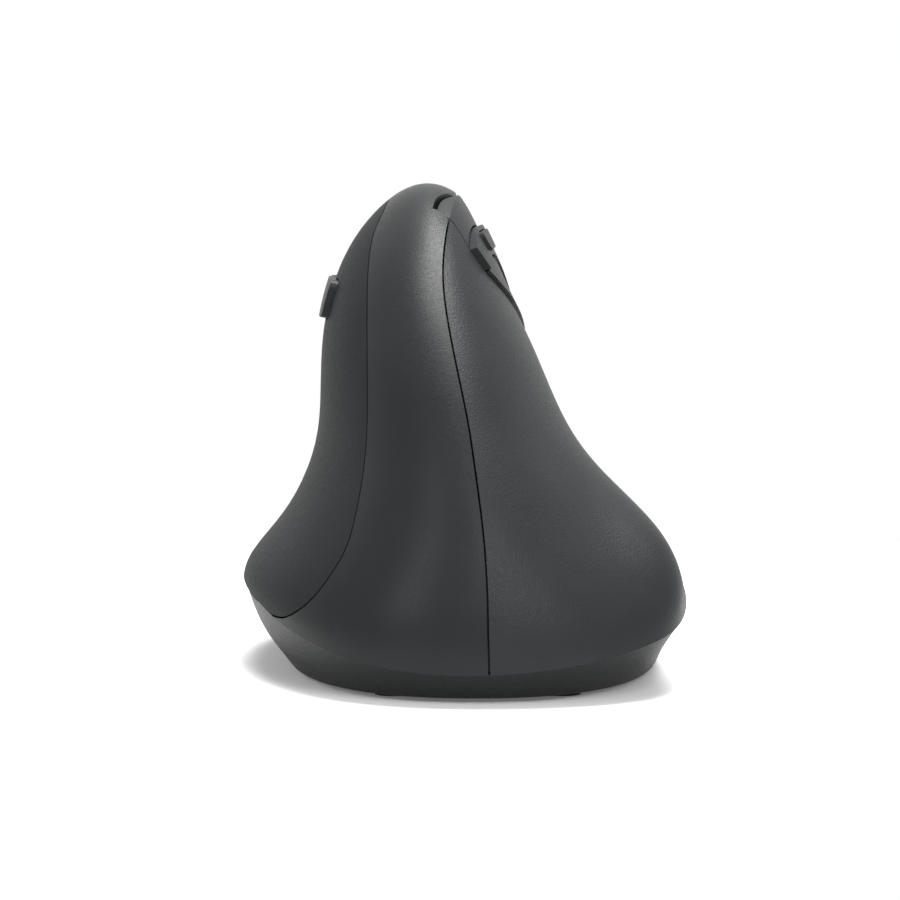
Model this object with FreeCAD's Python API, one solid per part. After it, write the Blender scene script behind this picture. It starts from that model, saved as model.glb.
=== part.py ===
import FreeCAD, Part
import math
import os

V = FreeCAD.Vector

# Upright ergonomic mouse for the right hand, in millimetres. X runs to the finger side,
# Y away from the wrist and Z up. All sizes here are laid out from the crest's drawing frame;
# the finished pieces are moved by origin_shift, so that the origin is under the middle of the body
# at desk level.
origin_shift = (1.07, 0.07, 0.0)

# Shells
wall = 2.0                # thickness of the three upper shells
seam_gap = 0.3            # open line between neighbouring shells
ledge_depth = 1.6         # thickness of the ledge that carries the next shell's edge
ledge_rise = 0.8          # how far the ledge grows into its own shell
ledge_reach = 2.6         # how far the ledge runs under the next shell
ledge_root = 1.2          # how far the ledge runs under its own shell
room_gap = 0.4            # clearance between the ledges and the parts inside

# Body form: each rail runs from the crest down one flank, at equal steps of the way to the rim
crest = (-6.5, 8.0, 75.7)
thumb_rail = [(-13.6, 7.5, 72.2), (-20.1, 6.0, 63.0), (-23.2, 4.0, 49.5), (-24.0, 2.0, 35.5),
              (-29.2, 1.0, 23.4), (-34.8, 0.0, 16.2), (-35.4, 0.0, 9.5), (-33.0, 0.0, 2.0)]
finger_rail = [(0.9, 8.0, 72.0), (7.8, 6.0, 60.8), (13.3, 4.0, 49.5), (18.4, 3.0, 36.0),
               (25.6, -4.0, 25.2), (33.0, -11.0, 16.6), (34.8, -13.0, 8.0), (33.0, -13.0, -1.0)]
heel_rail = [(-5.5, -8.0, 71.8), (-4.5, -23.0, 62.0), (-3.0, -35.0, 50.0), (-1.0, -44.0, 37.5),
             (1.0, -50.5, 25.5), (2.0, -54.5, 14.0), (2.5, -55.0, 5.0), (2.5, -53.0, -3.0)]
nose_rail = [(-5.0, 24.0, 72.4), (-4.0, 38.0, 64.5), (-2.0, 47.5, 53.5), (0.0, 53.0, 41.0),
             (1.5, 55.0, 28.5), (2.0, 54.5, 17.0), (2.0, 52.5, 7.5), (2.0, 50.0, -1.0)]
rail_steps = 7            # steps from the crest to the rim
corner_fill = 0.10        # how far the plan fills out towards a square at its corners
heel_thumb_fill = 0.05    # the same at the corner between heel and thumb side
corner_draw = 0.4         # how far the corners of the skin's net are drawn in towards the rim

# Local moves of the skin: place across and forward, spread across and forward, and the move itself
finger_scoop = (0.66, 0.26, 0.22, 0.36, V(-4.0, 0.0, -1.6))
wheel_scoop = (0.30, 0.31, 0.20, 0.20, V(-4.4, 0.0, -1.5))
palm_swell = (0.66, -0.40, 0.15, 0.24, V(3.2, -0.6, 2.4))

# The crease: the ridge line across the body, and how fast the finger side falls away from it
crease_line = [(-1.3, 0.0), (-1.0, 0.015), (-0.83, 0.021), (-0.66, 0.035), (-0.54, 0.043), (-0.44, 0.028),
               (-0.34, 0.015), (-0.256, 0.021), (-0.158, 0.053), (-0.06, 0.091), (0.15, 0.13), (0.3, 0.14),
               (0.5, 0.135), (0.75, 0.11), (1.3, 0.06)]
crease_fall = [(-1.3, 0.0), (-1.0, 0.5), (-0.7, 2.5), (-0.45, 7.0), (-0.25, 12.0), (0.0, 14.0), (0.3, 12.0),
               (0.45, 5.0), (0.6, 0.5), (0.75, 0.0), (1.3, 0.0)]
crease_width = 0.33
fall_direction = V(-0.88, 0.0, -0.47)
skin_points = 37          # points each way in a skin
skin_reach = 1.04         # how far the skin runs past the rim, as a share of the way to it

# Seams, as places on the skin: share of the way across to the finger side, share of the way forward
thumb_seam = [(-0.93, -0.30), (-0.875, -0.36), (-0.844, -0.413), (-0.812, -0.495), (-0.750, -0.573),
              (-0.686, -0.610), (-0.625, -0.629), (-0.562, -0.631), (-0.509, -0.617), (-0.467, -0.595),
              (-0.440, -0.560), (-0.413, -0.511), (-0.364, -0.440), (-0.292, -0.359), (-0.230, -0.260),
              (-0.181, -0.132), (-0.140, -0.071), (-0.112, 0.03), (-0.105, 0.16), (-0.15, 0.33),
              (-0.25, 0.50), (-0.39, 0.65), (-0.54, 0.78), (-0.66, 0.88)]
heel_seam = [(0.015, -1.04), (0.017, -0.913), (0.023, -0.83), (0.035, -0.66), (0.043, -0.54),
             (0.028, -0.44), (0.015, -0.34), (0.021, -0.256), (0.053, -0.158)]
crest_seam = [(0.091, -0.06), (0.13, 0.15), (0.14, 0.3)]
nose_seam = [(0.136, 0.46), (0.15, 0.58), (0.21, 0.70), (0.32, 0.81), (0.43, 0.90), (0.52, 0.95)]

# Rim: height of the parting line between the upper shells and the base
rim_top = 15.0
rim_tilt = 0.033
rim_fall = 0.00335

# Base
base_step = 0.3           # how far the base stands in from the shells' skin at the rim
base_wall = 2.0
base_floor = 2.2
base_side = 29.1          # half the width and length of the underside
base_end = 49.5
base_centre = 1.0         # the underside's middle, along X
base_bow = 1.3            # how far the base's sides swell out between the rim and the underside
base_square = 2.3         # how square the underside's plan is: 2 is an ellipse
base_round = 0.8          # radius of the edge round the underside
base_height = 24.0        # height that the base's sides are drawn to, above the rim
base_levels = 7           # rings that the base's sides are drawn through
base_lines_count = 72     # places in each ring
foot_height = 0.7         # how far the feet hold the underside off the desk
floor_top = foot_height + base_floor

# Finger side: the flank that the two paddles, the strip and the wheel lie in
finger_origin = (6.1, 0.0, 57.6)
finger_lean = 19.5        # degrees that the flank leans back from upright
field_outline = [(-12.9, 9.7), (-9.6, 15.2), (-7.2, 17.2), (-5.5, 26.0), (34.0, 26.0), (37.0, 13.0),
                 (40.0, 6.5), (42.5, 0.0), (44.0, -7.0), (42.5, -13.6), (36.0, -14.0), (28.0, -12.9), (20.0, -11.2),
                 (12.0, -8.4), (4.0, -4.8), (-4.0, -0.8), (-9.5, 2.6), (-12.8, 5.5)]
field_round = 1.6
field_gap = 0.3           # open line round the paddles and the strip
deep = -13.0              # how far in and out of a flank its outlines are drawn
proud = 12.0
far_side = 90.0           # further out than any part of the body, along X and Z
upper_split = [(-20.0, 6.0), (-13.0, 9.6), (-6.5, 12.0), (0.0, 12.4), (4.0, 12.0), (10.0, 10.2),
               (17.0, 8.4), (25.0, 7.8), (34.0, 7.0), (50.0, 4.0)]
lower_split = [(-20.0, 3.0), (-12.8, 5.5), (-6.5, 7.2), (0.0, 6.4), (6.0, 2.6), (12.0, -2.2), (20.0, -3.2),
               (34.0, -5.0), (50.0, -8.0)]
# The pocket's edge beside the crest, in plan: place forward, then place across
pocket_line = [(-20.0, -6.0), (-12.0, -5.4), (-7.0, -4.7), (-3.5, -4.1), (-1.0, -3.1), (1.0, -2.1),
               (4.0, -1.5), (8.0, -1.1), (15.0, -0.7), (22.0, -1.0), (28.0, -2.0), (35.0, -4.0),
               (42.0, -6.8), (50.0, -10.0)]
top_face_sink = 0.9       # depth of the left button's top face under the spine shell's skin
top_face_share = 0.066    # width of that top face, as a share of the way across
pocket_gaps = (0.5, 1.2)  # open line beside that edge at the back and at the front, where the press moves more
left_thickness = 1.8
right_rise = 0.6          # how far the right paddle stands proud
right_thickness = 2.1
strip_rise = 1.0          # how far the strip stands proud
strip_depth = 1.2         # how far it reaches under the skin
strip_dip = 1.8           # how far the skin lies under the flank frame at the wheel
strip_legs = [(-10.6, 8.2), (33.0, 0.6)]
leg_radius = 1.2
grip = 0.5                # how far lugs, feet and legs grow into the shell that they hang from

# Click switches, and the hinges of the two paddles
switch_size = (12.8, 5.8, 6.5)
switch_top = -6.4
plunger_size = (1.2, 2.8, 2.2)
plunger_rise = 0.6
plunger_gap = 0.08
click_foot = (2.4, 1.2)   # size of the foot under each paddle
contact_gap = 0.05        # between a button's foot and the plunger it presses
left_switch_place = (13.0, 11.6)
right_switch_place = (19.0, -8.6)
board_thickness = 1.2
plate_thickness = 1.6
board_top = switch_top - switch_size[2]
plate_top = board_top - board_thickness
plate_low = plate_top - plate_thickness
left_hinge = (2.0, -8.4, 12.6, 15.8)     # place along u and w, then from and to along v
right_hinge = (-3.0, -6.0, 0.6, 6.2)
hinge_radius = 0.8
running_gap = 0.05
lug_thickness = 1.0
lug_radius = 1.8
lug_gap = 0.15
lug_clearance = 0.3       # room round the hinge posts where they pass the button board
board_u = (-8.0, 36.0)
board_v = (-13.0, 14.6)
plate_u = (-12.6, 37.6)
plate_v = (-15.0, 15.6)

# Wheel
wheel_place = (20.0, 2.6)
wheel_radius = 8.0
wheel_width = 6.0
wheel_proud = 1.5         # how far the tread stands above the strip
wheel_gap = 0.5
slot_margin = 1.3         # room before and behind the wheel in the strip
slot_round = 1.5
tread_round = 1.0
hub_radius = 6.2
hub_inset = 0.3
hub_dish = (2.6, 5.2, 1.3)   # inner and outer radius and depth of the dish in each face
groove_count = 30
groove_radius = 0.35
groove_margin = 1.2       # plain edge beside the grooves
axle_radius = 1.2
axle_ends = (4.2, 1.6)    # how far the axle stands out of the wheel, towards the encoder and away
cheek_gap = 0.3
cheek_thickness = 1.2
cheek_radius = 2.8
cheek_half_height = 2.4
carrier_block = 4.0       # length of the block behind the wheel that joins the cheeks
carrier_travel = 0.5
encoder_size = (7.0, 2.6, 4.4)

# Small switches: body width, height and cap
tact_width = 4.5
tact_height = 1.9
cap_radius = 1.0
cap_gap = 0.1
cap_height = 0.6
cap_well = 0.9            # depth of the well that the cap sinks in

# Centre button behind the wheel
dpi_place = (-3.0, 9.8)
dpi_size = (7.6, 3.2)
dpi_rise = 1.5
dpi_round = 1.0
dpi_gap = 0.2
dpi_flange = 0.5          # how far the flange under the strip stands out round the button
flange_gap = 0.15
flange_thickness = 0.85
dpi_travel = 0.4

# Thumb side
thumb_origin = (-21.5, 0.0, 57.5)
thumb_lean = 12.0
thumb_spans = {"back": (-4.2, 9.6), "forward": (10.4, 24.2)}
thumb_half_height = 3.1
thumb_rise = 1.1
thumb_round = 1.3
thumb_gap = 0.3
thumb_travel = 0.5
thumb_flange = 0.8
thumb_board_top = -8.7
thumb_board_thickness = 1.0
thumb_board_u = (-3.0, 25.0)
thumb_board_v = (-6.0, 2.4)
thumb_stem_radius = 1.4

# Feet, screws and what the base holds
foot_size = (10.0, 5.5)
foot_recess = 0.3
foot_gap = 0.3
foot_places = {"front_left": (-9.5, 36.2), "front_right": (12.5, 36.2),
               "rear_left": (-9.0, -39.6), "rear_right": (12.0, -39.6)}
case_screws = {"spine_rear": (-7.0, -34.0), "spine_front": (-6.5, 43.0),
               "thumb": (-18.3, 30.8), "palm": (25.5, -9.0)}
boss_top = 8.0
boss_radius = 3.0
frame_boss_radius = 2.6
screw_radius = 1.1
screw_head_radius = 2.0
screw_head_height = 1.3
screw_head_depth = 2.6    # depth of the screw head's recess in the underside
screw_gap = 0.3
screw_slot = (2.4, 0.5, 0.6)
screw_reach = 16.0        # height that the case screws reach
frame_foot = 5.0          # height of the inner frame's feet
foot_thickness = 1.6
web_back = -12.6
web_front = 36.0
web_outline = [(-11.3, 63.6), (-1.1, 39.6), (4.0, 24.0), (6.0, 12.0), (6.0, 5.0), (-2.6, 5.0),
               (-3.0, 19.6), (-11.5, 40.0), (-13.6, 49.2), (-11.4, 57.6)]
foot_back = (-20.0, -12.0)
foot_front = (36.6, 43.6)
foot_x = (-2.6, 6.0)
frame_screw_x = 1.7
frame_screw_y = (-16.5, 41.0)

# Battery, its tray and its door
cell_radius = 7.1
cell_x = -11.7
cell_z = 9.95
cell_y = (-24.6, 24.6)
cell_nub = (2.7, 1.0)     # radius and height of the raised end
cell_round = 0.6
tray_wall = 1.2
tray_x = (-19.1, -4.3)
tray_y = (-29.0, 26.0)
tray_roof = 17.3
contact_thickness = 0.4
contact_size = (8.0, 10.0)
leaf_width = 5.0
leaf_bends = [(2.8, -5.6), (0.2, 0.0), (1.2, 1.6)]   # its bends, back from and above the cell's end
door_thickness = 1.6
door_gap = 0.3
door_x = (-18.9, -4.5)
door_y = (-28.2, 25.6)    # the second is the hinge line
trunnion_radius = 0.6
trunnion_length = 0.9
saddle_y = (-18.0, 0.0, 18.0)
saddle_size = (4.0, 2.0)  # ribs on the door that the cell rests on
saddle_gap = 0.1
grip_groove = (8.0, 0.8, 0.35, 1.6)       # finger grooves on the door: length, width, depth and pitch
grip_count = 4

# Boards and what they carry
main_board_low = 7.4
main_board_x = (-2.6, 26.0)
main_board_y = (-8.0, 33.0)
connector_place = (13.0, -1.0)
connector_size = (3.0, 10.0, 1.5)
sensor_place = (10.0, 14.0)
sensor_window = (4.0, 3.0)
sensor_hole = (12.0, 8.0)
sensor_size = (9.2, 12.0)
lens_plate = (14.4, 16.0, 1.2)
lens_radius = 2.4
lens_rise = 1.7           # height of the sensor over the lens plate's underside
lens_sink = 0.8           # how far the lens stays above the underside
lens_leg = (5.9, 1.2)     # the lens's two legs: distance from the middle, and radius
receiver_x = 14.9
receiver_y = (-34.8, -29.0, -16.8)
receiver_cap = (14.0, 6.0)
receiver_plug = (12.0, 4.5)
receiver_low = 0.9
bay_gap = 0.3
bay_wall = 1.2
switch_place = (20.0, 23.0)
switch_travel = 2.5
slot_edge = 0.6           # room round the slider in its recess
slider_size = (5.2, 3.6)
slider_neck = (2.2, 2.4)
slider_inner = (4.8, 3.6)
slider_post = 0.6
slider_plate = 0.7        # thickness of the plate that holds the slider up inside
slider_post_height = 1.2
power_switch_size = (3.8, 6.4)
slot_depth = 0.8          # depth of the recess round the power slider and the pairing button
pairing_place = (20.0, 10.0)
pairing_radius = 1.7
pairing_dimple = 1.4
pairing_flange = 0.7
pairing_height = 0.9
pairing_travel = 0.4
slide_gap = 0.1

# Flat cables: where each lies on its board along v, then its bends as places along X and Z
cable_thickness = 0.3
button_cable_lie = (-10.5, -14.6)
button_cable_bends = [(7.0, 30.0), (13.0, 14.0), (13.0, 10.1)]
button_cable_y = (-5.0, 3.0)
thumb_cable_lie = (-3.4, -7.4)
thumb_cable_bends = [(-13.0, 32.0), (-3.0, 21.0), (-1.2, 12.0), (-1.2, 8.6)]
thumb_cable_y = (6.0, 12.0)


class Spline:
    """Natural cubic through values, numbers or points, at rising places."""

    def __init__(self, places, values):
        self.places = list(places)
        self.rows = [list(row) for row in zip(*[v if isinstance(v, tuple) else (v,) for v in values])]
        self.bends = [self.bend(row) for row in self.rows]

    def bend(self, row):
        """Second derivatives of one coordinate, zero at both ends."""
        step = [b - a for a, b in zip(self.places, self.places[1:])]
        slope = [(b - a) / h for a, b, h in zip(row, row[1:], step)]
        count = len(row)
        middle = [1.0] * count
        right = [0.0] * count
        for i in range(1, count - 1):
            middle[i] = 2 * (step[i - 1] + step[i])
            right[i] = 6 * (slope[i] - slope[i - 1])
            if i > 1:
                share = step[i - 1] / middle[i - 1]
                middle[i] -= share * step[i - 1]
                right[i] -= share * right[i - 1]
        out = [0.0] * count
        for i in range(count - 2, 0, -1):
            out[i] = (right[i] - step[i] * out[i + 1]) / middle[i]
        return out

    def at(self, place):
        i = 0
        while i < len(self.places) - 2 and place > self.places[i + 1]:
            i += 1
        h = self.places[i + 1] - self.places[i]
        p = (self.places[i + 1] - place) / h
        q = (place - self.places[i]) / h
        out = []
        for row, bend in zip(self.rows, self.bends):
            curve = ((p ** 3 - p) * bend[i] + (q ** 3 - q) * bend[i + 1]) * h * h / 6
            out.append(p * row[i] + q * row[i + 1] + curve)
        return out


stations = [i / rail_steps for i in range(-rail_steps - 1, rail_steps + 2)]
across = Spline(stations, thumb_rail[::-1] + [crest] + finger_rail)
along = Spline(stations, heel_rail[::-1] + [crest] + nose_rail)
crease_at = Spline(*zip(*crease_line))
fall_at = Spline(*zip(*crease_fall))


def body_point(a, b, palm):
    """The outer skin at a across and b forward, both from -1 to 1; palm adds the fall beside the crease."""
    reach = math.hypot(a, b)
    c, s = (a / reach, b / reach) if reach > 1e-9 else (1.0, 0.0)
    finger, thumb = across.at(reach), across.at(-reach)
    nose, heel = along.at(reach), along.at(-reach)
    finger_share = c * c * (1 + c) / 2
    thumb_share = c * c * (1 - c) / 2
    nose_share = s * s * (1 + s) / 2
    heel_share = s * s * (1 - s) / 2
    square = corner_fill + (heel_thumb_fill - corner_fill) * (1 - c) * (1 - s) / 4
    square *= min(reach, 1.2) ** 2
    width = (finger[0] - crest[0]) * (1 + c) / 2 + (crest[0] - thumb[0]) * (1 - c) / 2
    length = (nose[1] - crest[1]) * (1 + s) / 2 + (crest[1] - heel[1]) * (1 - s) / 2
    x = crest[0] + width * c * (1 + square * s * s)
    x += nose_share * (nose[0] - crest[0]) + heel_share * (heel[0] - crest[0])
    y = crest[1] + length * s * (1 + square * c * c)
    y += finger_share * (finger[1] - crest[1]) + thumb_share * (thumb[1] - crest[1])
    z = finger_share * finger[2] + thumb_share * thumb[2] + nose_share * nose[2] + heel_share * heel[2]
    point = V(x, y, z)
    for a0, b0, a_width, b_width, move in (finger_scoop, wheel_scoop, palm_swell):
        point += move * math.exp(-((a - a0) / a_width) ** 2 - ((b - b0) / b_width) ** 2)
    if palm:
        beside = a - crease_at.at(b)[0]
        point += fall_direction * (fall_at.at(b)[0] * beside * math.exp(-(beside / crease_width) ** 2))
    return point


def body_normal(a, b, palm):
    step = 0.004
    here = body_point(a, b, palm)
    aside = body_point(a + step, b, palm) - here
    ahead = body_point(a, b + step, palm) - here
    return aside.cross(ahead).normalize()


def skin_places():
    """A square net of places, its corners drawn in so that they stay near the rim."""
    ticks = [-1 + 2 * i / (skin_points - 1) for i in range(skin_points)]
    return [[(skin_reach * u * math.sqrt(1 - corner_draw * v * v),
              skin_reach * v * math.sqrt(1 - corner_draw * u * u)) for v in ticks] for u in ticks]


skin_net = {palm: [[(a, b, body_point(a, b, palm), body_normal(a, b, palm)) for a, b in row]
                   for row in skin_places()] for palm in (False, True)}


def sewn(faces):
    shell = Part.Shell(faces)
    shell.sewShape()
    return Part.Solid(shell)


def closed_under(rows, foot):
    """Solid between a skin through rows of points and a flat face at the height foot."""
    skin = Part.BSplineSurface()
    skin.interpolate(rows)
    face = skin.toShape()
    faces = [face]
    feet = []
    for edge in face.Edges:
        curve = edge.Curve.copy()
        for i in range(1, curve.NbPoles + 1):
            pole = curve.getPole(i)
            curve.setPole(i, V(pole.x, pole.y, foot))
        feet.append(curve.toShape(edge.FirstParameter, edge.LastParameter))
        faces.append(Part.makeRuledSurface(edge, feet[-1]))
    faces.append(Part.Face(Part.Wire(Part.__sortEdges__(feet))))
    return sewn(faces)


def body(depth, palm=False, dip=0.0):
    """The whole body, its skin moved in by depth, and by dip more on the left of the crease."""
    rows = []
    for row in skin_net[palm]:
        points = []
        for a, b, point, normal in row:
            beside = crease_at.at(b)[0] - a
            more = dip * beside / top_face_share * math.exp(-(beside / crease_width) ** 2)
            points.append(point - normal * (depth + more))
        rows.append(points)
    return closed_under(rows, -25.0)


def rim_height(x, y):
    return rim_top + rim_tilt * x - rim_fall * y * y


def above_rim():
    rows = [[V(x, y, rim_height(x, y)) for y in range(-70, 71, 10)] for x in range(-50, 51, 10)]
    sheet = Part.BSplineSurface()
    sheet.interpolate(rows)
    return sheet.toShape().extrude(V(0, 0, 100))


def blade(line, palm, low, high, left, right, steps=32):
    """Solid band square to the skin along a line of places, to cut a seam or shape a ledge."""
    path = Spline([i / (len(line) - 1) for i in range(len(line))], line)
    quads = []
    for i in range(steps + 1):
        a, b = path.at(i / steps)
        a_next, b_next = path.at(i / steps + 0.002)
        point = body_point(a, b, palm)
        normal = body_normal(a, b, palm)
        ahead = (body_point(a_next, b_next, palm) - point).normalize()
        side = normal.cross(ahead).normalize()
        quads.append([point + normal * high + side * left, point + normal * high - side * right,
                      point - normal * low - side * right, point - normal * low + side * left])
    rails = []
    for k in range(4):
        curve = Part.BSplineCurve()
        curve.interpolate([quad[k] for quad in quads])
        rails.append(curve.toShape())
    faces = [Part.makeRuledSurface(rails[k], rails[(k + 1) % 4]) for k in range(4)]
    for quad in (quads[0], quads[-1]):
        faces.append(Part.Face(Part.makePolygon(quad + [quad[0]])))
    return sewn(faces)


def nearest(shape, point):
    """The one solid of a shape that lies nearest to a point."""
    probe = Part.Vertex(point)
    return min(shape.Solids, key=lambda solid: solid.distToShape(probe)[0])


def turned(lean, side):
    """Outward and upward directions of a flank that leans back by lean degrees, side 1 or -1 along X."""
    c, s = math.cos(math.radians(lean)), math.sin(math.radians(lean))
    return V(side * c, 0, s), V(-side * s, 0, c)


class Flank:
    """Flat working frame on one flank: u runs forward, v up the flank and w out of it."""

    def __init__(self, origin, lean, side):
        self.origin = V(*origin)
        self.out, self.up = turned(lean, side)
        self.ahead = V(0, 1, 0)

    def at(self, u, v, w):
        return self.origin + self.ahead * u + self.up * v + self.out * w

    def plate(self, points, low, high, radius=0.0):
        """Prism over a closed outline, its corners rounded where a radius is given."""
        edges = []
        count = len(points)
        places = [self.at(u, v, low) for u, v in points]
        ends = []
        for i in range(count):
            here, back, on = places[i], places[i - 1], places[(i + 1) % count]
            to_back = (back - here).normalize()
            to_on = (on - here).normalize()
            half = to_back.getAngle(to_on) / 2
            if radius == 0.0:
                ends.append((here, here, None))
                continue
            cut = min(radius / math.tan(half), 0.45 * min((back - here).Length, (on - here).Length))
            inward = (to_back + to_on).normalize()
            true_radius = cut * math.tan(half)
            middle = here + inward * (true_radius / math.sin(half) - true_radius)
            ends.append((here + to_back * cut, here + to_on * cut, middle))
        for i in range(count):
            start, stop, middle = ends[i]
            if middle is not None:
                edges.append(Part.Arc(start, middle, stop).toShape())
            edges.append(Part.LineSegment(stop, ends[(i + 1) % count][0]).toShape())
        return Part.Face(Part.Wire(edges)).extrude(self.out * (high - low))

    def block(self, u, v, w):
        """Box from and to along u, v and w."""
        points = [(u[0], v[0]), (u[1], v[0]), (u[1], v[1]), (u[0], v[1])]
        return self.plate(points, w[0], w[1])

    def centred(self, place, size, w):
        return self.block((place[0] - size[0] / 2, place[0] + size[0] / 2),
                          (place[1] - size[1] / 2, place[1] + size[1] / 2), w)

    def post(self, place, radius, low, high):
        """Round post along w."""
        return Part.makeCylinder(radius, high - low, self.at(place[0], place[1], low), self.out)

    def rod(self, u, w, v, radius):
        """Round rod along v, from v[0] to v[1]."""
        return Part.makeCylinder(radius, v[1] - v[0], self.at(u, v[0], w), self.up)

    def beside(self, line, shift, reach, low, high):
        """Prism between a curved line, moved up by shift, and the height reach."""
        curve = Part.BSplineCurve()
        places = [self.at(u, v + shift, low) for u, v in line]
        curve.interpolate(places)
        far = [self.at(line[-1][0], reach, low), self.at(line[0][0], reach, low)]
        edges = [curve.toShape(), Part.LineSegment(places[-1], far[0]).toShape(),
                 Part.LineSegment(far[0], far[1]).toShape(), Part.LineSegment(far[1], places[0]).toShape()]
        return Part.Face(Part.Wire(edges)).extrude(self.out * (high - low))


def grown(points, gap):
    """A closed outline moved outwards by gap all round; the points run clockwise or not."""
    count = len(points)
    area = sum(points[i - 1][0] * points[i][1] - points[i][0] * points[i - 1][1] for i in range(count))
    sign = 1 if area > 0 else -1
    out = []
    for i in range(count):
        (x0, y0), (x1, y1), (x2, y2) = points[i - 1], points[i], points[(i + 1) % count]
        first = math.hypot(x1 - x0, y1 - y0)
        second = math.hypot(x2 - x1, y2 - y1)
        n0 = (sign * (y1 - y0) / first, -sign * (x1 - x0) / first)
        n1 = (sign * (y2 - y1) / second, -sign * (x2 - x1) / second)
        scale = gap / (1 + n0[0] * n1[0] + n0[1] * n1[1])
        out.append((x1 + (n0[0] + n1[0]) * scale, y1 + (n0[1] + n1[1]) * scale))
    return out


def box(x, y, z):
    """Box from and to along X, Y and Z."""
    return Part.makeBox(x[1] - x[0], y[1] - y[0], z[1] - z[0], V(x[0], y[0], z[0]))


def right_of(line, gaps):
    """Upright prism on the finger side of a line in plan, (Y, X), moved out by a gap at its back and front."""
    length = line[-1][0] - line[0][0]
    places = [V(x - gaps[0] - (gaps[1] - gaps[0]) * (y - line[0][0]) / length, y, 0) for y, x in line]
    curve = Part.BSplineCurve()
    curve.interpolate(places)
    far = [V(far_side, line[-1][0], 0), V(far_side, line[0][0], 0)]
    edges = [curve.toShape(), Part.LineSegment(places[-1], far[0]).toShape(),
             Part.LineSegment(far[0], far[1]).toShape(), Part.LineSegment(far[1], places[0]).toShape()]
    return Part.Face(Part.Wire(edges)).extrude(V(0, 0, far_side))


def upright(x, y, radius, low, high):
    return Part.makeCylinder(radius, high - low, V(x, y, low))


def joined(shapes):
    return shapes[0].fuse(shapes[1:])


def biggest(shape):
    return max(shape.Solids, key=lambda solid: solid.Volume)


finger = Flank(finger_origin, finger_lean, 1)
thumb = Flank(thumb_origin, thumb_lean, -1)
nodes = {}

# Skins
top = above_rim()
spine_skin = body(0.0)
palm_skin = body(0.0, True)
spine_inner = body(wall)
palm_inner = body(wall, True)

# Shells
left_shell = spine_skin.cut(spine_inner).common(top)
right_shell = palm_skin.cut(palm_inner).common(top)
thumb_cut = blade(thumb_seam, False, wall + 1, 1, seam_gap / 2, seam_gap / 2, 60)
palm_seam = heel_seam + crest_seam + nose_seam
palm_cut = blade(palm_seam, True, wall + 1, 1, seam_gap / 2, seam_gap / 2, 70)
split = left_shell.cut(thumb_cut)
thumb_panel = nearest(split, body_point(-0.5, 0.1, False))
spine_place = body_point(-0.2, -0.5, False)
spine_shell = nearest(nearest(split, spine_place).cut(palm_cut), spine_place)
palm_panel = nearest(right_shell.cut(palm_cut), body_point(0.5, -0.5, True))


def ledge(line, palm, steps):
    """Strip under a seam, grown into the spine shell and reaching under its neighbour."""
    strip = body(wall - ledge_rise, palm).cut(body(wall + ledge_depth, palm)).common(top)
    reach = (ledge_reach, ledge_root) if not palm else (ledge_root, ledge_reach)
    return biggest(strip.common(blade(line, palm, wall + ledge_depth + 1, 1, reach[0], reach[1], steps)))


thumb_ledge = ledge(thumb_seam, False, 60)
heel_ledge = ledge(heel_seam[:-1], True, 30)
nose_ledge = ledge(nose_seam, True, 20)
spine_shell = biggest(joined([spine_shell, thumb_ledge.cut(thumb_panel), heel_ledge.cut(palm_panel),
                              nose_ledge.cut(palm_panel)]))

# Opening for the paddles and the strip
field = finger.plate(field_outline, deep, proud, field_round)
field_hole = finger.plate(grown(field_outline, field_gap), deep, proud, field_round + field_gap)
opening = field_hole.common(right_of(pocket_line, pocket_gaps))
spine_shell = biggest(spine_shell.cut(opening))
palm_panel = biggest(palm_panel.cut(opening))


def within(shape, bodies):
    """What of a shape lies inside every one of the bodies."""
    for whole in bodies:
        shape = shape.common(whole)
    return shape


# Left button: its outside is the palm skin and the sunk top face, which meet at the crease
left_region = field.common(finger.beside(upper_split, field_gap / 2, 40, deep, proud))
left_region = left_region.common(right_of(pocket_line, (0.0, 0.0)))
left_outer = within(left_region, [body(0.0, False, top_face_sink), palm_skin])
left_inner = within(left_region, [body(left_thickness, False, top_face_sink), body(left_thickness, True)])
left_button = biggest(left_outer.cut(left_inner))
left_core = [body(left_thickness - grip, False, top_face_sink), body(left_thickness - grip, True)]
right_region = field.common(finger.beside(lower_split, -field_gap / 2, -40, deep, proud))
right_core = [body(right_thickness - right_rise - grip, True)]
right_slab = body(-right_rise, True).cut(body(right_thickness - right_rise, True))
right_button = biggest(right_slab.common(right_region))


def paddle(shell, core, hinge, switch_place):
    """A paddle with two hinge lugs and the foot that works its switch, all grown into its core."""
    u, w, low, high = hinge
    adds = []
    for start in (low, high - lug_thickness):
        block = finger.block((u - lug_radius, u + lug_radius), (start, start + lug_thickness), (w, proud))
        adds.append(within(block, core))
        adds.append(finger.rod(u, w, (start, start + lug_thickness), lug_radius))
    foot_low = switch_top + plunger_rise + contact_gap
    foot = finger.centred(switch_place, click_foot, (foot_low, proud))
    whole = joined([shell] + adds + [within(foot, core)])
    return biggest(whole.cut(finger.rod(u, w, (low - 1, high + 1), hinge_radius + running_gap)))


nodes["left_button"] = paddle(left_button, left_core, left_hinge, left_switch_place)
nodes["right_button"] = paddle(right_button, right_core, right_hinge, right_switch_place)

# Wheel place and slot
wheel_u, wheel_v = wheel_place
strip_surface = strip_rise - strip_dip
wheel_w = strip_surface + wheel_proud - wheel_radius
slot_half = wheel_width / 2 + wheel_gap
strip_bottom = strip_surface - strip_rise - strip_depth
slot_reach = math.sqrt(wheel_radius ** 2 - (strip_bottom - wheel_w) ** 2) + slot_margin


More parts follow.
